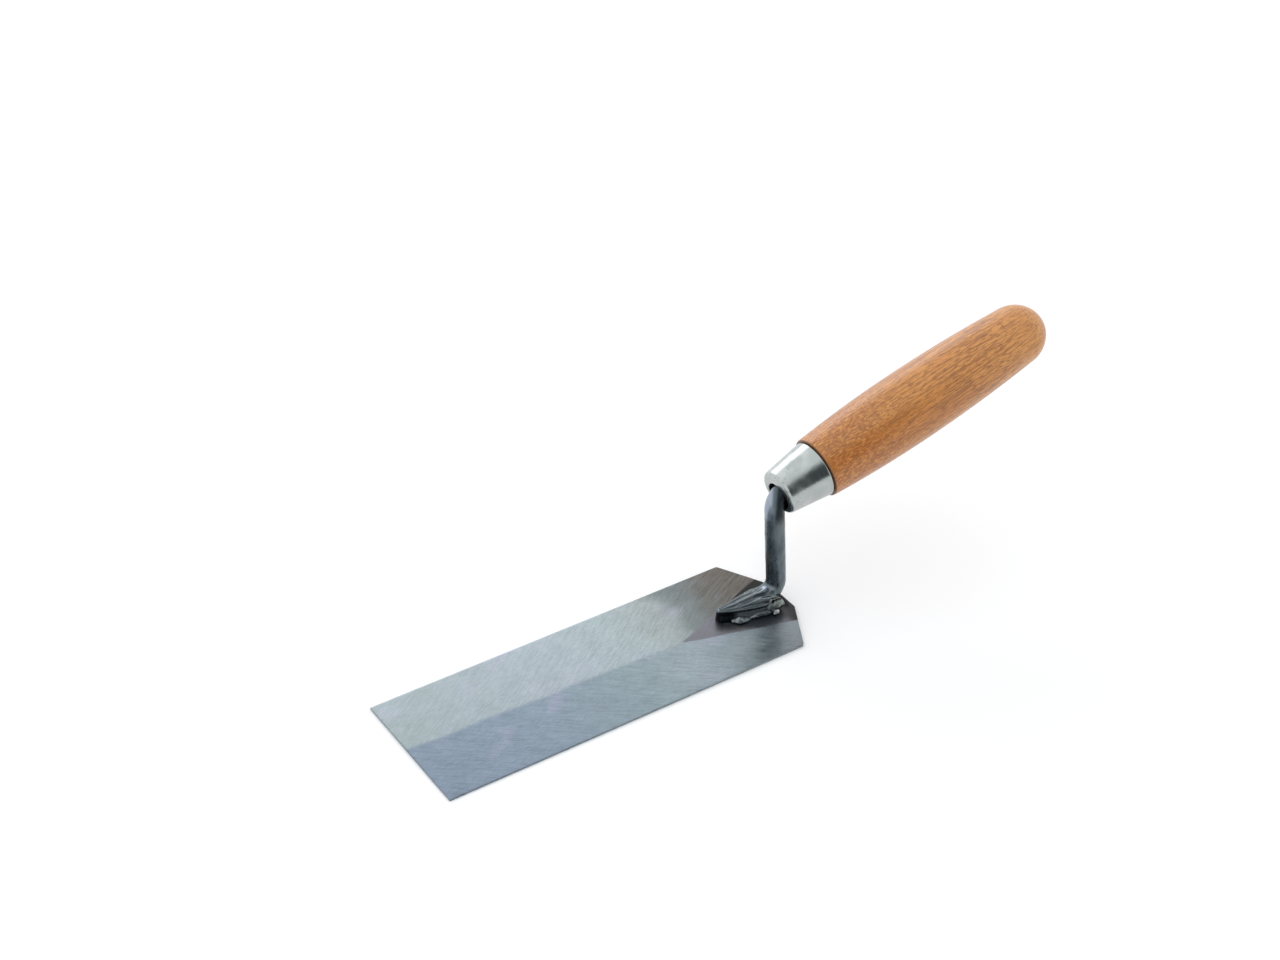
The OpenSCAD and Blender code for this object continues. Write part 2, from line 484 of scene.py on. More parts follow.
def rounded_path(corners, bends, step):
    """A polyline in the XZ plane whose inner corners are arcs of the given radii."""
    path = [corners[0]]
    for before, corner, after, bend in zip(corners, corners[1:], corners[2:], bends):
        into = (corner - before).normalized()
        out = (after - corner).normalized()
        turn = into.angle(out)
        start = corner - into * bend * math.tan(turn / 2)
        centre = start + (out - into * into.dot(out)).normalized() * bend
        count = max(4, round(bend * turn / step))
        for k in range(count + 1):
            path.append(centre + Quaternion(into.cross(out), turn * k / count) @ (start - centre))
    path.append(corners[-1])
    even = []
    for a, b in zip(path, path[1:]):
        count = max(1, round((b - a).length / step))
        even += [a.lerp(b, k / count) for k in range(count)]
    return even + [path[-1]]


def tube(path, radius_at, steps):
    """Vertices and faces of a closed tube along a path in the XZ plane."""
    rings = []
    for k, point in enumerate(path):
        ahead = path[min(k + 1, len(path) - 1)] - path[max(k - 1, 0)]
        outward = ahead.normalized().cross(side_axis)
        angles = [2 * math.pi * i / steps for i in range(steps)]
        radius = radius_at(point)
        rings.append([point + (outward * math.cos(a) + side_axis * math.sin(a)) * radius
                      for a in angles])
    return loft(rings)


def loft(rings):
    """Vertices and faces of a closed solid through equal rings of points."""
    count = len(rings[0])
    vertices = [point for ring in rings for point in ring]
    faces = [tuple(range(count))]
    for k in range(len(rings) - 1):
        for i in range(count):
            j = (i + 1) % count
            a, b = k * count, (k + 1) * count
            faces.append((a + j, a + i, b + i, b + j))
    last = (len(rings) - 1) * count
    faces.append(tuple(last + i for i in range(count - 1, -1, -1)))
    return vertices, faces


def foot_half(x):
    """Half the foot's width: two long arcs that narrow to the tip, and a round heel."""
    if x < FOOT_WIDE_X:
        return math.sqrt(FOOT_HALF ** 2 - HEEL_ROUNDING * (x - FOOT_WIDE_X) ** 2)
    fall = FOOT_HALF - FOOT_TIP_HALF
    arc_r = (FOOT_LENGTH ** 2 + fall ** 2) / (2 * fall)
    return FOOT_HALF - arc_r + math.sqrt(arc_r ** 2 - (x - FOOT_WIDE_X) ** 2)


def foot_lead(x):
    """How far along the foot a place is: 0 at its widest place and 1 at its tip."""
    return rise(x, FOOT_WIDE_X, FOOT_WIDE_X + FOOT_LENGTH)


def drawn_in(x):
    """How far the foot's top has drawn in towards the riser: 0 along most of it, 1 at its heel."""
    return rise(x, FOOT_WIDE_X + DRAW_IN, FOOT_WIDE_X)


def foot_near_y(x):
    """Where the foot's top ends on the near side."""
    return foot_half(x) * NEAR_SHARE - NEAR_TIP_PULL * foot_lead(x) - NEAR_DRAW_IN * drawn_in(x)


def foot_far_y(x):
    """Where the foot's top ends on the far side."""
    return FAR_DRAW_IN * drawn_in(x) - foot_half(x) * FAR_SHARE


def foot_rings():
    """Rings of (y, z) places from the foot's heel to its tip: a folded top between steep walls."""
    base = BLADE_TOP - FOOT_SUNK
    start = FOOT_WIDE_X - FOOT_TAIL
    end = FOOT_WIDE_X + FOOT_LENGTH
    rings = []
    for k in range(FOOT_STEPS + 1):
        x = start + (end - start) * k / FOOT_STEPS
        lead = foot_lead(x)
        tail = max((FOOT_WIDE_X - x) / FOOT_TAIL, 0)
        blunt = math.sqrt(1 - rise(lead, TIP_ROUND_START, 1) ** 2)
        narrow = TIP_ROUND_HALF + (1 - TIP_ROUND_HALF) * blunt
        half = foot_half(x) * narrow
        crest_y = CREST_Y * (1 - lead) + CREST_TIP_Y * lead
        crest_z = FOOT_CREST_Z + (FOOT_TIP_Z - FOOT_CREST_Z) * lead
        crest_z -= CREST_TAIL_DROP * tail + 0.5 * (1 - blunt)
        near_y = foot_near_y(x) * narrow
        near_z = min(FOOT_NEAR_Z, crest_z - 0.1)
        fold_y = FOLD_Y - (half - FOOT_TIP_HALF) * (0.35 + 0.2 * lead)
        fold_z = crest_z - FOLD_DROP + (FOLD_DROP - FOLD_DROP_TIP) * lead
        far_y = foot_far_y(x) * narrow
        far_z = min(FOOT_FAR_Z, fold_z - 0.2)
        near_wall = [(half + 0.4, base), (half + 0.3, BLADE_TOP + 0.9),
                     (near_y + 0.2, near_z - 1.8), (near_y + 0.12, near_z - 0.6)]
        top = [(near_y, near_z), (crest_y, crest_z + 0.1), (fold_y, fold_z), (far_y, far_z)]
        far_wall = [(far_y - 0.15, far_z - 0.7), (-half - 0.05, BLADE_TOP + 1.0), (-half - 0.3, base)]
        ring = near_wall + top + far_wall
        rings.append([Vector((x, y + FOOT_TIP_Y * lead, z)) for y, z in ring])
    return rings


def join_solids(name, solids):
    """One object from several (vertices, faces) solids in mm."""
    vertices, faces = [], []
    for solid_vertices, solid_faces in solids:
        start = len(vertices)
        vertices += [vertex * MM for vertex in solid_vertices]
        faces += [tuple(start + i for i in face) for face in solid_faces]
    return mesh_object(name, vertices, faces)


def forge(piece, voxel, rounds):
    """Melts overlapping solids into one and softens the corners between them."""
    remesh = piece.modifiers.new("melt", "REMESH")
    remesh.mode = "VOXEL"
    remesh.voxel_size = voxel * MM
    smooth = piece.modifiers.new("soften", "SMOOTH")
    smooth.iterations = rounds
    settle(piece)


def dent(piece, depth_at):
    """Moves every vertex along its normal by depth_at(place in mm, normal) mm."""
    mesh = piece.data
    moved = [vertex.co + vertex.normal * depth_at(vertex.co / MM, vertex.normal) * MM
             for vertex in mesh.vertices]
    for vertex, place in zip(mesh.vertices, moved):
        vertex.co = place
    mesh.update()


# Creases over the foot's top, as (middle and width in half-widths of the foot, height in mm).
FORGE_CREASES = (
    (-0.82, 0.06, 0.12), (-0.66, 0.1, -0.22), (-0.46, 0.07, 0.2), (-0.28, 0.09, -0.24),
    (0.12, 0.07, 0.34), (0.28, 0.09, -0.26), (0.42, 0.07, 0.14), (0.6, 0.06, 0.24), (0.74, 0.08, -0.22),
)


def foot_creases(place, normal):
    """Height in mm of the creases that fan out over the foot's top from its tip."""
    lead = foot_lead(place.x)
    on_top = rise(normal.z, 0.3, 0.6333) * rise(place.x, FOOT_WIDE_X - 1.5, FOOT_WIDE_X + 1.5)
    on_top *= rise(place.z, 3.6, 4.4) * rise(place.z, FOOT_CREST_Z + 0.9, FOOT_CREST_Z + 0.3)
    across = (place.y - FOOT_TIP_Y * lead) / (foot_half(max(place.x, FOOT_WIDE_X)) - 0.5 * lead)
    across += 0.08 * noise.noise(Vector((place.x * 0.16, 5.0, 0.0)))
    creases = 0.14 * noise.noise(Vector((place.x * 0.25, across * 5, 7.1)))
    for middle, width, height in FORGE_CREASES:
        waver = 0.1 * noise.noise(Vector((place.x * 0.2, middle * 9, 2.0)))
        creases += height * math.exp(-((across - middle - waver) / width) ** 2)
    return on_top * creases * (1 - 0.4 * lead)


def foot_wall(place, normal):
    """One on the foot's steep sides, which its material paints dark as shade, and none on its top and
    on the riser.
    """
    return rise(place.z, 6.2, 5.4) * rise(normal.z, 0.72, 0.42)


def forging_marks(place, normal):
    """Hammer dents all over, and the creases on the foot."""
    dents = noise.noise(place * 0.25) * 0.06 + noise.noise(place * 1.2) * 0.015
    return dents + foot_creases(place, normal)


def make_shank():
    """The foot, riser, gooseneck and tang, melted into one forging and then dented."""
    neck = (ferrule_front - grip_axis * NECK_OFFSET * MM) / MM
    low = Vector((HEEL_X + RISER_INSET, 0, FOOT_AXIS_Z))
    tang_end = neck + grip_axis * (NECK_OFFSET + TANG_END)
    start = low + Vector((12.0, 0, 0))
    path = rounded_path([start, low, neck, tang_end], [FOOT_BEND, NECK_BEND], 0.6)

    def radius_at(point):
        """The rod's radius, less where the tang tapers and where the rod runs out in the foot."""
        depth = (point - ferrule_front / MM).dot(grip_axis)
        taper = rise(depth, TANG_START, TANG_END)
        ahead = max(point.x - low.x - 5.5, 0) if point.z < FOOT_AXIS_Z + 1 else 0
        return ROD_R + (TANG_END_R - ROD_R) * taper - 0.24 * ahead

    shank = join_solids("forged_shank", [tube(path, radius_at, 40), loft(foot_rings())])
    forge(shank, FORGE_VOXEL, 3)
    creases = [foot_creases(vertex.co / MM, vertex.normal) for vertex in shank.data.vertices]
    walls = [foot_wall(vertex.co / MM, vertex.normal) for vertex in shank.data.vertices]
    dent(shank, forging_marks)
    keep_values(shank, "crease", creases)
    keep_values(shank, "wall", walls)
    return shank


# ---------------------------------------------------------------- welds

WELD_VOXEL = 0.14
WELD_SUNK = 0.4
BEAD_RINGS = 12
BEAD_SIDES = 18
BEAD_SHAPE = Vector((0.75, 1, 0.85))
BEAD_TILT = -0.45
TOE_PITCH = 0.6
HEEL_PITCH = 0.8
FAR_PITCH = 0.9
CRACK_START = Vector((-66.2, 5.7, 0))
CRACK_END = Vector((-70.2, 5.1, 0))
CRACK_WIDTH = 0.4
CRACK_DEPTH = 0.5

# Stations along each weld, as (x, y, z, half-width) in mm.
NEAR_TOE = [
    (-51.6, 2.9, 1.2, 1.3), (-53.4, 3.7, 1.4, 2.1), (-55.6, 4.5, 1.3, 1.7), (-57.2, 4.7, 1.3, 0.9),
    (-59.2, 4.9, 1.8, 1.1), (-62.0, 5.6, 2.2, 1.4), (-64.8, 6.1, 2.4, 1.5),
]
NEAR_HEEL = [
    (-65.9, 7.3, 1.7, 0.9), (-67.2, 7.2, 1.8, 1.2), (-64.6, 5.6, 3.4, 1.7),
    (-67.2, 5.3, 3.9, 2.5), (-70.2, 4.6, 3.1, 2.4),
]
FAR = [
    (-57.6, -5.0, 0.9, 1.4), (-62.0, -5.6, 1.0, 1.8), (-66.0, -6.0, 1.0, 1.9), (-70.6, -5.6, 1.0, 1.8),
]


def bead(centre, size, heading):
    """A flattened ball of weld metal, turned to its heading and tilted back."""
    turn = Matrix.Rotation(heading, 3, "Z") @ Matrix.Rotation(BEAD_TILT, 3, "Y")
    rings = []
    for i in range(1, BEAD_RINGS):
        up = math.pi * i / BEAD_RINGS
        ring = []
        for j in range(BEAD_SIDES):
            around = 2 * math.pi * j / BEAD_SIDES
            place = Vector((math.sin(up) * math.cos(around), math.sin(up) * math.sin(around),
                            -math.cos(up)))
            ring.append(centre + turn @ (place * BEAD_SHAPE * size))
        rings.append(ring)
    return loft(rings)


def crack(place):
    """One in the crack over the top of the heel weld, and none away from it."""
    run = CRACK_END - CRACK_START
    flat_place = Vector((place.x, place.y, 0))
    t = rise((flat_place - CRACK_START).dot(run), 0, run.length_squared)
    waver = 0.4 * noise.noise(Vector((place.x * 0.9, 1.0, 4.0)))
    away = (flat_place - CRACK_START.lerp(CRACK_END, t)).length + waver
    return rise(place.z, 3.6, 4.2) * math.exp(-(away / CRACK_WIDTH) ** 2)


def weld_marks(place, _):
    """Lumps all over, less the crack."""
    lumps = noise.noise(place * 0.35) * 0.22 + noise.noise(place * 1.3) * 0.04
    return lumps - CRACK_DEPTH * crack(place)


def make_weld(name, stations, pitch):
    """A run of tilted beads through (x, y, z, half-width) stations, one on top of the other."""
    beads = []
    for a, b in zip(stations, stations[1:]):
        start, end = Vector(a[:3]), Vector(b[:3])
        heading = math.atan2(end.y - start.y, end.x - start.x)
        count = max(1, round((end - start).length / pitch))
        for i in range(count):
            t = i / count
            centre = start.lerp(end, t)
            size = a[3] + (b[3] - a[3]) * t
            size *= 1 + 0.1 * noise.noise(centre * 1.7)
            beads.append(bead(centre, size, heading))
    weld = join_solids(name, beads)
    for vertex in weld.data.vertices:
        vertex.co.z = max(vertex.co.z, (BLADE_TOP - WELD_SUNK) * MM)
    forge(weld, WELD_VOXEL, 3)
    cracks = [crack(vertex.co / MM) for vertex in weld.data.vertices]
    dent(weld, weld_marks)
    keep_values(weld, "crack", cracks)
    return weld


# ---------------------------------------------------------------- ferrule and handle

FERRULE_FRONT_R = 8.15
FERRULE_BACK_R = 10.2
FERRULE_WALL = 0.8
FERRULE_EDGE = 1.3
FERRULE_STEPS = 31
RIM_R = 0.3
HOLE_R = 5.0
HOLE_DROP = 1.4

SEAM = 0.32
GRIP_R = 12.78
SHOULDER_R = 11.0
SHOULDER_EDGE = 0.45
GRIP_PEAK = 42.4
GRIP_STEP = 1.2
CAP_LENGTH = 12.0
CAP_STEPS = 20
CAP_FALL = 1.7
BUTT_TRIM = 0.15
FIT = 0.05
GRIP_START = FERRULE_LENGTH + SEAM
CAP_START = GRIP_END - CAP_LENGTH


def drop_hole(piece):
    """Shifts the rod's hole a little below the handle's axis, where the rod still bends."""
    for vertex in piece.data.vertices:
        if abs(math.hypot(vertex.co.x, vertex.co.y) / MM - HOLE_R) < 0.35:
            vertex.co.x -= HOLE_DROP * MM


def make_ferrule():
    """A conical cup with a round front edge, a rolled back rim and a hole for the rod."""
    wall = FERRULE_WALL
    outer = arc((HOLE_R + RIM_R, RIM_R), RIM_R, 180, 270, 3)
    outer += arc((FERRULE_FRONT_R - FERRULE_EDGE, FERRULE_EDGE), FERRULE_EDGE, -90, -7, 9)
    front_r, front_height = outer[-1]
    back_height = FERRULE_LENGTH - RIM_R - 0.1
    for k in range(1, FERRULE_STEPS):
        t = k / FERRULE_STEPS
        outer.append((front_r + (FERRULE_BACK_R - front_r) * t,
                      front_height + (back_height - front_height) * t))
    outer += arc((FERRULE_BACK_R - RIM_R, FERRULE_LENGTH - RIM_R), RIM_R, 0, 90, 4)
    inner = [(FERRULE_BACK_R - wall, FERRULE_LENGTH), (FERRULE_FRONT_R - wall, wall), (HOLE_R, wall)]
    ferrule = lathe("ferrule_cup", outer + inner, 160, closed=True)
    drop_hole(ferrule)
    sharpen(ferrule, 35)
    ferrule.data.transform(grip_frame)
    return ferrule


def grip_radius(height):
    """Radius of the grip's long curve, by its height from the ferrule's front face."""
    peak = GRIP_START + GRIP_PEAK
    if height < peak:
        return GRIP_R - (GRIP_R - SHOULDER_R) * ((peak - height) / GRIP_PEAK) ** 2
    return GRIP_R - CAP_FALL * ((height - peak) / (CAP_START - peak)) ** 2


def make_handle():
    """The turned handle: a tapered hole for the tang, a nose in the ferrule, the grip and its butt."""
    front = FERRULE_WALL + 0.02
    nose = FERRULE_BACK_R - front
    hole_end = TANG_END + 0.1
    profile = [(0, hole_end), (TANG_END_R + FIT, hole_end), (ROD_R + FIT, TANG_START),
               (HOLE_R, TANG_START), (HOLE_R, front), (FERRULE_FRONT_R - front, front),
               (nose, FERRULE_LENGTH), (nose, GRIP_START)]
    profile += arc((SHOULDER_R - SHOULDER_EDGE, GRIP_START + SHOULDER_EDGE), SHOULDER_EDGE, -90, -5, 4)
    height = GRIP_START + GRIP_STEP
    while height < CAP_START:
        profile.append((grip_radius(height), height))
        height += GRIP_STEP
    rim = grip_radius(CAP_START)
    for k in range(CAP_STEPS):
        a = math.pi / 2 * k / CAP_STEPS
        profile.append((rim * math.cos(a), CAP_START + (CAP_LENGTH - BUTT_TRIM) * math.sin(a)))
    profile.append((0, GRIP_END - BUTT_TRIM))
    handle = lathe("wooden_handle", profile, 144, closed=False)
    drop_hole(handle)
    sharpen(handle, 40)
    handle.data.transform(grip_frame)
    return handle


# ---------------------------------------------------------------- materials

# Places in the materials are in mm, in the tool's frame or from the ferrule's front face.


def split_place(tree, place):
    """A place's X, Y and Z."""
    return add_node(tree, "SeparateXYZ", {0: place}).outputs


def object_place(tree):
    """Texture places in the tool's frame."""
    return add_node(tree, "TexCoord").outputs["Object"]


def grip_place(tree):
    """Texture places measured from the ferrule's front face, with Z along the handle."""
    inputs = {"Vector": object_place(tree), "Location": grip_frame.to_translation(),
              "Rotation": grip_frame.to_euler()}
    return add_node(tree, "Mapping", inputs, vector_type="TEXTURE").outputs[0]


def kept_value(tree, name):
    """A number that the mesh keeps for each of its vertices."""
    return add_node(tree, "Attribute", attribute_name=name).outputs["Fac"]


def zone(tree, place, low, high, to_low=0.0, to_high=1.0):
    """Like fade, with low and high in mm."""
    return fade(tree, place, low * MM, high * MM, to_low, to_high)


def less(tree, value):
    """One less the value."""
    return calc(tree, "SUBTRACT", 1.0, value)


def total(tree, *values):
    """The sum of any number of values."""
    result = values[0]
    for value in values[1:]:
        result = calc(tree, "ADD", result, value)
    return result


def grain(tree, place, size, turn=0.0, detail=2.0, rough=0.5):
    """Noise with features of the given size in mm along X, Y and Z after a turn round Z."""
    inputs = {"Vector": place, "Rotation": (0, 0, math.radians(turn)),
              "Scale": [length * MM for length in size]}
    mapping = add_node(tree, "Mapping", inputs, vector_type="TEXTURE")
    inputs = {"Vector": mapping.outputs[0], "Scale": 1.0, "Detail": detail, "Roughness": rough}
    return add_node(tree, "TexNoise", inputs).outputs["Fac"]


def patch(tree, place, centre, radii, turn=0.0, ragged=0.25):
    """One in the middle of a soft oval on the blade, given in mm, and none outside it."""
    inputs = {"Vector": place, "Location": Vector((*centre, 0)) * MM,
              "Rotation": (0, 0, math.radians(turn)),
              "Scale": (radii[0] * MM, radii[1] * MM, 1)}
    local = add_node(tree, "Mapping", inputs, vector_type="TEXTURE").outputs[0]
    away = add_node(tree, "VectorMath", {0: local}, operation="LENGTH").outputs["Value"]
    blur = grain(tree, place, (5, 5, 5))
    return fade(tree, total(tree, away, swing(tree, blur, ragged * 4)), 1.0, 0.15)


def bump_of(tree, height, strength, depth, **inputs):
    """Fine relief, depth mm deep."""
    inputs.update(Height=height, Strength=strength, Distance=depth * MM)
    return add_node(tree, "Bump", inputs).outputs[0]


# Colours along the facets, from the heel at 0 to the toe at 1. The far facet's lighter tones and the
# near facet's darker, bluer ones are painted sheen for the grinding marks' highlights.
FAR_FACET_SHEEN_COLOURS = [
    (0.0, srgb(104, 99, 94)), (0.1, srgb(109, 104, 99)), (0.15, srgb(109, 108, 104)),
    (0.2, srgb(121, 127, 128)), (0.235, srgb(123, 131, 131)), (0.3, srgb(155, 163, 163)),
    (0.42, srgb(159, 171, 174)), (0.6, srgb(153, 162, 168)), (0.9, srgb(144, 155, 158)),
]
NEAR_FACET_SHEEN_COLOURS = [
    (0.0, srgb(138, 146, 149)), (0.1, srgb(142, 152, 158)), (0.23, srgb(141, 153, 157)),
    (0.3, srgb(150, 161, 167)), (0.43, srgb(139, 153, 158)), (0.7, srgb(129, 143, 155)),
    (0.9, srgb(123, 136, 150)),
]
BLADE_LENGTH = blade_high.x - blade_low.x
SKY_REFLECTION_TINT = srgb(168, 166, 188)
SMUDGE_COLOUR = srgb(104, 118, 122)
FLAT_COLOUR = srgb(122, 122, 128)
BROWNED_COLOUR = srgb(84, 78, 78)
NEAR_DARK_COLOUR = srgb(54, 58, 63)
FAR_DARK_COLOUR = srgb(29, 31, 28)
HEEL_COLOUR = srgb(60, 58, 58)
HEEL_BAND_COLOUR = srgb(24, 26, 27)

# Soft ovals on the blade, as (centre, radii, turn, raggedness).
SMUDGE = ((-54, 21), (10, 6), 40, 0.25)
BROWNED = ((-60, 2), (18, 13), -8, 0.15)
NEAR_DARK_OVAL = ((-60, 4), (17, 9), -20, 0.1)
FAR_DARK_OVAL = ((-64, -9), (18, 9), 14, 0.1)
HEEL_BAND = ((-72.6, 1.2), (2.8, 8.5), 0, 0.1)

# Ground marks: how long and wide they are, and their angles on the two facets.
MARK_SIZE = (7, 0.55, 1)
FAR_MARK_TURN = 35
NEAR_MARK_TURN = -37
BLADE_SHINE = 0.84


def heat_stain(tree, place, along, flat):
    """The unground flat's browned colour, darker in ovals beside the foot and in a band at the heel,
    and how metallic it leaves the steel.
    """
    browned = patch(tree, place, *BROWNED)
    # Darker, less metallic ovals on the flat beside the foot, on its near and far sides.
    near_dark = fade(tree, patch(tree, place, *NEAR_DARK_OVAL), 0.05, 0.5)
    far_dark = fade(tree, patch(tree, place, *FAR_DARK_OVAL), 0.0, 0.5)
    darkened = calc(tree, "MAXIMUM", near_dark, far_dark)
    # A near-black band across the flat along the heel edge.
    heel_band = fade(tree, patch(tree, place, *HEEL_BAND), 0.1, 0.6)
    stain = mix(tree, browned, FLAT_COLOUR, BROWNED_COLOUR)
    stain = mix(tree, darkened, stain, NEAR_DARK_COLOUR)
    stain = mix(tree, zone(tree, along, -66.5, -71.5), stain, HEEL_COLOUR)
    stain = mix(tree, times(tree, far_dark, 0.95), stain, FAR_DARK_COLOUR)
    stain = mix(tree, heel_band, stain, HEEL_BAND_COLOUR)
    dull = fade(tree, far_dark, 0, 1, 0.6, 0.25)
    return stain, less(tree, times(tree, darkened, flat, dull))


def ground_shade(tree, place, along, near, flat, marks, fine):
    """How bright the ground steel is, round BLADE_SHINE: marks, hatching by the foot and clouds."""
    hatch = grain(tree, place, (16, 0.9, 1), 24, 3.0, 0.6)
    hatched = times(tree, zone(tree, along, -46, -54), less(tree, near))
    cloud = grain(tree, place, (9, 9, 9), 0, 3.0)
    shade = total(tree, swing(tree, marks, 0.5), times(tree, swing(tree, hatch, 0.9), hatched),
                  swing(tree, fine, 0.55), swing(tree, cloud, 0.22))
    shade = times(tree, shade, fade(tree, flat, 0.0, 1.0, 1.0, 0.6))
    return total(tree, shade, BLADE_SHINE)


def ground_steel():
    """Two ground facets with herringbone marks round an unground, heat-stained flat; the facets' two
    tones are painted sheen.
    """
    material, tree, shader = new_material("ground_steel")
    place = object_place(tree)
    along = split_place(tree, place)["X"]
    near = fade(tree, kept_value(tree, "past_ridge"), -1.1, 1.1)
    flat = fade(tree, kept_value(tree, "past_flat"), -0.3, 0.3)
    far_marks = grain(tree, place, MARK_SIZE, FAR_MARK_TURN)
    near_marks = grain(tree, place, MARK_SIZE, NEAR_MARK_TURN)
    marks = add_node(tree, "Mix", {0: near, 2: far_marks, 3: near_marks}).outputs[0]
    fine = grain(tree, place, (2.0, 0.3, 1), 12, 3.0, 0.6)
    tint = grain(tree, place, (16, 12, 9), 20, 2.0)

    spot = total(tree, times(tree, along, 1 / BLADE_LENGTH), 0.5, swing(tree, tint, 0.12))
    # The two facet tones are painted sheen standing in for the highlights of their differently angled
    # grinding marks.
    colour = mix(tree, near, ramp(tree, spot, FAR_FACET_SHEEN_COLOURS), ramp(tree, spot, NEAR_FACET_SHEEN_COLOURS))
    # Lilac patches here are a painted reflection of the sky.
    colour = mix(tree, fade(tree, tint, 0.55, 0.75, 0, 0.3), colour, SKY_REFLECTION_TINT)
    colour = mix(tree, times(tree, patch(tree, place, *SMUDGE), 0.6), colour, SMUDGE_COLOUR)
    stain, metal = heat_stain(tree, place, along, flat)
    colour = mix(tree, flat, colour, stain)
    shade = ground_shade(tree, place, along, near, flat, marks, fine)
    colour = add_node(tree, "VectorMath", {0: colour, "Scale": shade}, operation="SCALE").outputs[0]
    relief = bump_of(tree, total(tree, marks, times(tree, fine, 0.3)), 0.3, 0.03)
    set_shader(tree, shader, Base_Color=colour, Metallic=metal, Normal=relief,
               Roughness=fade(tree, marks, 0.3, 0.7, 0.28, 0.4))
    return material


SHANK_COLOURS = [(0.35, srgb(84, 94, 100)), (0.55, srgb(104, 114, 118)), (0.72, srgb(122, 128, 134))]
FOOT_COLOUR = srgb(76, 83, 87)
CREASE_SHADE_COLOUR = srgb(34, 38, 41)
FOLD_HIGHLIGHT_COLOUR = srgb(150, 158, 162)
WALL_SHADE = srgb(26, 29, 32)
WALL_LIT_GREY = srgb(84, 90, 95)
NECK_SHADE = srgb(30, 35, 38)
NECK_HIGHLIGHT = srgb(158, 166, 180)
FOOT_GLINT_COLOUR = srgb(150, 161, 178)

# Painted glints on the foot's top, as (centre, radii).
ROOT_GLINT = ((-66.2, -0.6), (1.7, 2.4))
TIP_GLINT = ((-47.2, -0.8), (1.0, 0.9))
SHADED_SIDE = (-0.8, 0.6, 0)


def foot_colour(tree, colour, along, height, cloud):
    """The foot: darker, with painted shade in its creases, painted highlights on its folds and painted
    shade on its steep walls, and how metallic it is.
    """
    crease = kept_value(tree, "crease")
    foot = times(tree, zone(tree, height, 8.5, 7.2), zone(tree, along, -69, -66))
    colour = mix(tree, times(tree, foot, 0.75), colour, FOOT_COLOUR)
    # Creases get painted shade and folds painted highlights, by the kept crease height.
    colour = mix(tree, fade(tree, crease, -0.02, -0.16, 0, 0.65), colour, CREASE_SHADE_COLOUR)
    colour = mix(tree, fade(tree, crease, 0.06, 0.24, 0, 0.6), colour, FOLD_HIGHLIGHT_COLOUR)
    # The steep sides get painted shade over their scale, with a painted lit grey lower down towards the
    # heel, where they are also less metallic.
    wall = total(tree, kept_value(tree, "wall"), swing(tree, cloud, 0.8))
    wall = fade(tree, wall, 0.2, 0.8, 0, 0.92)
    lit_wall = times(tree, zone(tree, along, -51, -54), zone(tree, height, 4.8, 4.2))
    colour = mix(tree, wall, colour, mix(tree, lit_wall, WALL_SHADE, WALL_LIT_GREY))
    return colour, less(tree, times(tree, wall, lit_wall, 0.7))


def forged_steel():
    """Dark forging scale, with painted shade down the neck's back, a painted highlight at its front and
    painted glints on the foot.
    """
    material, tree, shader = new_material("forged_steel")
    place = object_place(tree)
    along = split_place(tree, place)["X"]
    height = split_place(tree, place)["Z"]
    cloud = grain(tree, place, (6, 6, 9), 0, 4.0)
    fine = grain(tree, place, (0.8, 0.8, 2.0), 0, 3.0)
    colour, metal = foot_colour(tree, ramp(tree, cloud, SHANK_COLOURS), along, height, cloud)

    # Painted shade down the neck's side that lies to the right in the view, just below the ferrule.
    side = add_node(tree, "VectorMath", {0: place, 1: SHADED_SIDE}, operation="DOT_PRODUCT")
    side = side.outputs["Value"]
    neck_shaded = times(tree, zone(tree, side, 53.6, 54.9), zone(tree, height, 33.5, 41.5), 0.92)
    colour = mix(tree, neck_shaded, colour, NECK_SHADE)
    # A painted highlight down the neck's other side.
    neck_lit = times(tree, zone(tree, side, 53.5, 52.2), zone(tree, height, 37, 39.5), 0.85)
    colour = mix(tree, neck_lit, colour, NECK_HIGHLIGHT)
    # Painted glints where the foot meets the riser and at its tip.
    root = times(tree, patch(tree, place, *ROOT_GLINT), zone(tree, height, 6.8, 7.4),
                 zone(tree, height, 9.4, 8.4))
    tip = times(tree, patch(tree, place, *TIP_GLINT), zone(tree, height, 4.4, 5.0))
    glinted = times(tree, calc(tree, "MAXIMUM", root, tip), fade(tree, fine, 0.42, 0.56))
    colour = mix(tree, glinted, colour, FOOT_GLINT_COLOUR)
    set_shader(tree, shader, Base_Color=colour, Metallic=metal, Normal=bump_of(tree, fine, 0.3, 0.06),
               Roughness=fade(tree, fine, 0.3, 0.7, 0.24, 0.42))
    return material


HEEL_WELD_COLOURS = [(0.34, srgb(84, 91, 89)), (0.5, srgb(109, 116, 113)), (0.68, srgb(133, 140, 134))]
TOE_WELD_COLOURS = [(0.36, srgb(78, 84, 88)), (0.5, srgb(108, 115, 119)), (0.66, srgb(134, 140, 143))]
FILLET_COLOUR = srgb(74, 80, 84)
WELD_GLINT_COLOUR = srgb(166, 171, 173)
SKIRT_COLOUR = srgb(28, 30, 32)
CRACK_SHADE_COLOUR = srgb(12, 14, 14)
WELD_GLINT_SPOT = ((-66.7, 8.0), (1.8, 1.2))


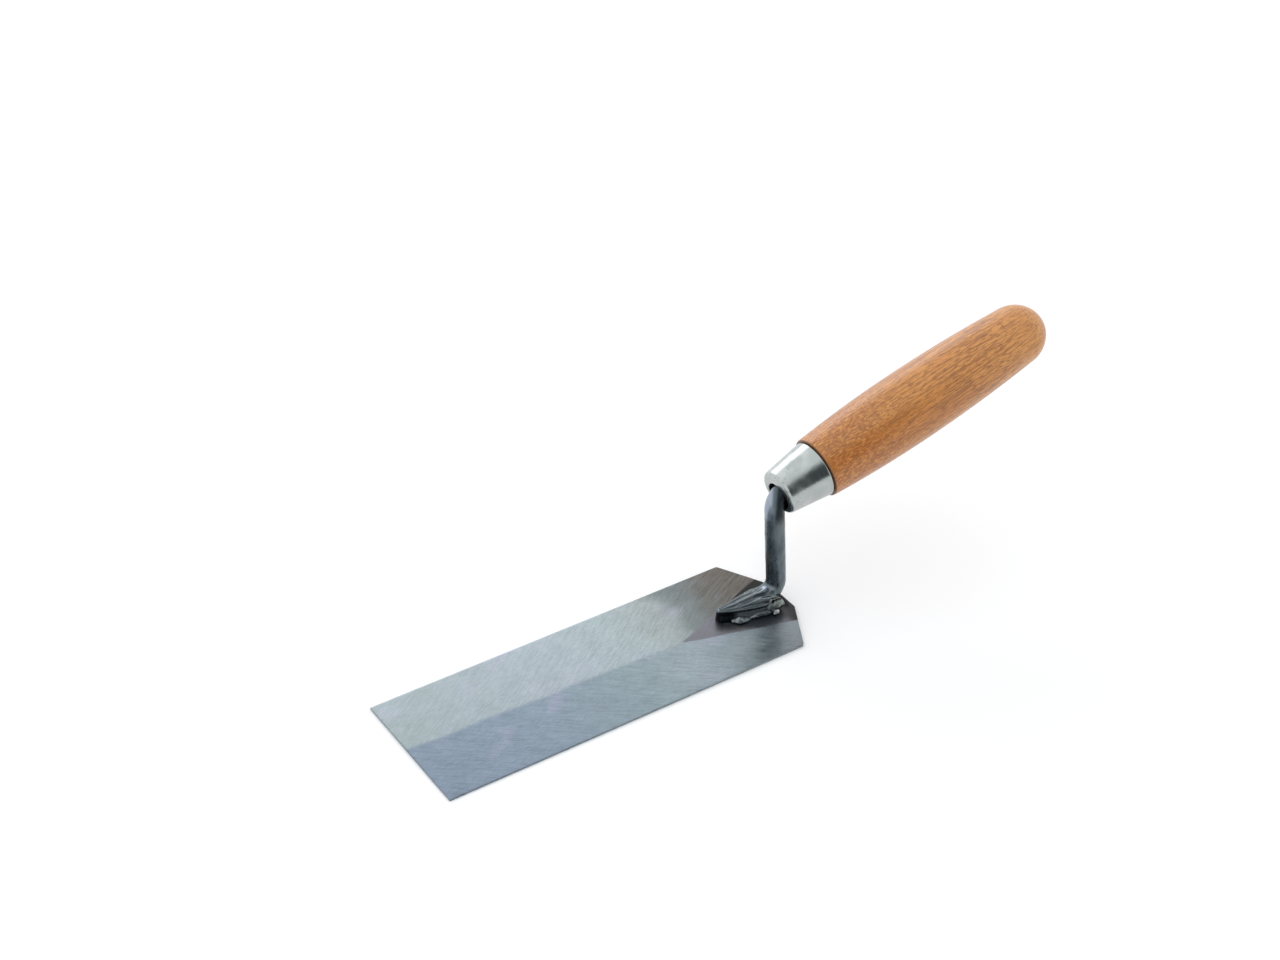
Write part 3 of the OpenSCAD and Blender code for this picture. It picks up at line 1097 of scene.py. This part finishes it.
def weld_metal():
    """Weld metal, darker between its lumps and down by the blade, with painted shade in its crack and a
    painted glint by the heel.
    """
    material, tree, shader = new_material("weld_metal")
    place = object_place(tree)
    along = split_place(tree, place)["X"]
    height = split_place(tree, place)["Z"]
    cloud = grain(tree, place, (1.6, 1.6, 1.6), 0, 4.0)
    fine = grain(tree, place, (0.4, 0.4, 0.4), 0, 3.0)
    heel = ramp(tree, cloud, HEEL_WELD_COLOURS)
    toe = ramp(tree, cloud, TOE_WELD_COLOURS)
    colour = mix(tree, zone(tree, along, -64, -62), heel, toe)
    fillet = times(tree, zone(tree, along, -56.5, -58), zone(tree, along, -66, -64.5),
                   zone(tree, height, 2.2, 2.7), 0.85)
    colour = mix(tree, fillet, colour, FILLET_COLOUR)
    # A painted glint on the small lump by the heel weld.
    weld_glint = times(tree, patch(tree, place, *WELD_GLINT_SPOT), zone(tree, height, 1.7, 2.1),
                   zone(tree, height, 3.4, 2.9))
    colour = mix(tree, weld_glint, colour, WELD_GLINT_COLOUR)
    colour = mix(tree, zone(tree, height, 2.1, 1.3, 0, 0.85), colour, SKIRT_COLOUR)
    # The crack is also painted near black as shade.
    colour = mix(tree, fade(tree, kept_value(tree, "crack"), 0.1, 0.5), colour, CRACK_SHADE_COLOUR)
    set_shader(tree, shader, Base_Color=colour, Metallic=1.0, Normal=bump_of(tree, fine, 0.3, 0.04),
               Roughness=fade(tree, cloud, 0.3, 0.7, 0.4, 0.25))
    return material


NICKEL_COLOURS = [(0.3, srgb(162, 168, 166)), (0.7, srgb(186, 190, 188))]
TARNISH = srgb(86, 84, 78)


def nickel_plate():
    """Bright plate with shallow waves, drawn lines and specks of tarnish near its front."""
    material, tree, shader = new_material("nickel_plate")
    place = grip_place(tree)
    height = split_place(tree, place)["Z"]
    cloud = grain(tree, place, (5, 5, 5), 0, 3.0)
    drawn = grain(tree, place, (0.5, 0.5, 14), 0, 2.0)
    specks = grain(tree, place, (0.9, 0.9, 1.2), 0, 3.0, 0.65)
    tarnish = times(tree, fade(tree, specks, 0.56, 0.7), zone(tree, height, 9, 2), 0.6)
    colour = mix(tree, tarnish, ramp(tree, cloud, NICKEL_COLOURS), TARNISH)
    waves = bump_of(tree, cloud, 1.0, 0.12)
    set_shader(tree, shader, Base_Color=colour, Metallic=1.0,
               Normal=bump_of(tree, drawn, 0.12, 0.03, Normal=waves),
               Roughness=fade(tree, cloud, 0.3, 0.7, 0.16, 0.28))
    return material


WOOD_COLOURS = [(0.34, srgb(180, 107, 34)), (0.5, srgb(193, 123, 46)), (0.66, srgb(203, 137, 59))]
BUTT_COLOUR = srgb(212, 150, 78)
RED_COLOUR = srgb(176, 99, 35)
LINE_COLOUR = srgb(141, 83, 30)
DASH_COLOUR = srgb(134, 77, 26)
FLECK_COLOUR = srgb(139, 80, 27)
PALE_COLOUR = srgb(201, 138, 71)
SHOULDER_COLOUR = srgb(104, 62, 26)
NOSE_SHADE_COLOUR = srgb(16, 12, 9)


def lacquered_wood():
    """Tan hardwood with dashes of open pores, redder and speckled towards the ferrule."""
    material, tree, shader = new_material("lacquered_wood")
    place = grip_place(tree)
    height = split_place(tree, place)["Z"]
    band = grain(tree, place, (4, 9, 90), 25, 3.0)
    blotch = grain(tree, place, (4, 4, 10), 0, 3.0)
    lines = grain(tree, place, (0.5, 0.9, 26), 20, 3.0, 0.6)
    dashes = grain(tree, place, (0.36, 0.36, 2.8), 0, 2.0)
    speckle = grain(tree, place, (0.62, 0.62, 1.3), 0, 3.0, 0.65)
    front = zone(tree, total(tree, height, times(tree, blotch, 0.05)), 88, 60)
    back = zone(tree, total(tree, height, times(tree, blotch, 0.02)), 104, 116, 1.0, 0.65)
    line = times(tree, fade(tree, front, 0, 1, 0.7, 0.35), fade(tree, lines, 0.45, 0.6), back)
    layers = (
        (zone(tree, height, 50, 110, 0, 0.6), BUTT_COLOUR),
        (times(tree, front, fade(tree, blotch, 0.4, 0.62, 0, 0.6)), RED_COLOUR),
        (line, LINE_COLOUR),
        (times(tree, back, fade(tree, dashes, 0.5, 0.62, 0, 0.8)), DASH_COLOUR),
        (times(tree, front, fade(tree, speckle, 0.46, 0.58, 0, 0.6)), FLECK_COLOUR),
        (times(tree, front, fade(tree, speckle, 0.46, 0.38, 0, 0.58)), PALE_COLOUR),
        (zone(tree, height, GRIP_START + 0.5, GRIP_START), SHOULDER_COLOUR),
        # The nose inside the ferrule is painted near black as shade.
        (zone(tree, height, 14.5, 13.5), NOSE_SHADE_COLOUR),
    )
    colour = ramp(tree, band, WOOD_COLOURS)
    for amount, layer_colour in layers:
        colour = mix(tree, amount, colour, layer_colour)
    set_shader(tree, shader, Base_Color=colour, Roughness=0.45, Coat_Weight=0.42, Coat_Roughness=0.12,
               Normal=bump_of(tree, dashes, 0.1, 0.03))
    return material


# ---------------------------------------------------------------- the trowel

make_camera()
make_world()
make_floor()
soft_light("window", WINDOW_PLACE, WINDOW_SIZE, WINDOW_POWER)

finish_piece(make_blade(), "blade_steel", ground_steel(), "blade")
finish_piece(make_shank(), "shank_steel", forged_steel(), "shank")
weld_look = weld_metal()
for weld, stations, pitch, node in (
    ("toe_weld_bead", NEAR_TOE, TOE_PITCH, "near_toe_weld"),
    ("heel_weld_bead", NEAR_HEEL, HEEL_PITCH, "near_heel_weld"),
    ("far_weld_bead", FAR, FAR_PITCH, "far_weld"),
):
    finish_piece(make_weld(weld, stations, pitch), "weld_metal", weld_look, node)
finish_piece(make_ferrule(), "ferrule_plate", nickel_plate(), "ferrule")
finish_piece(make_handle(), "handle_wood", lacquered_wood(), "handle")
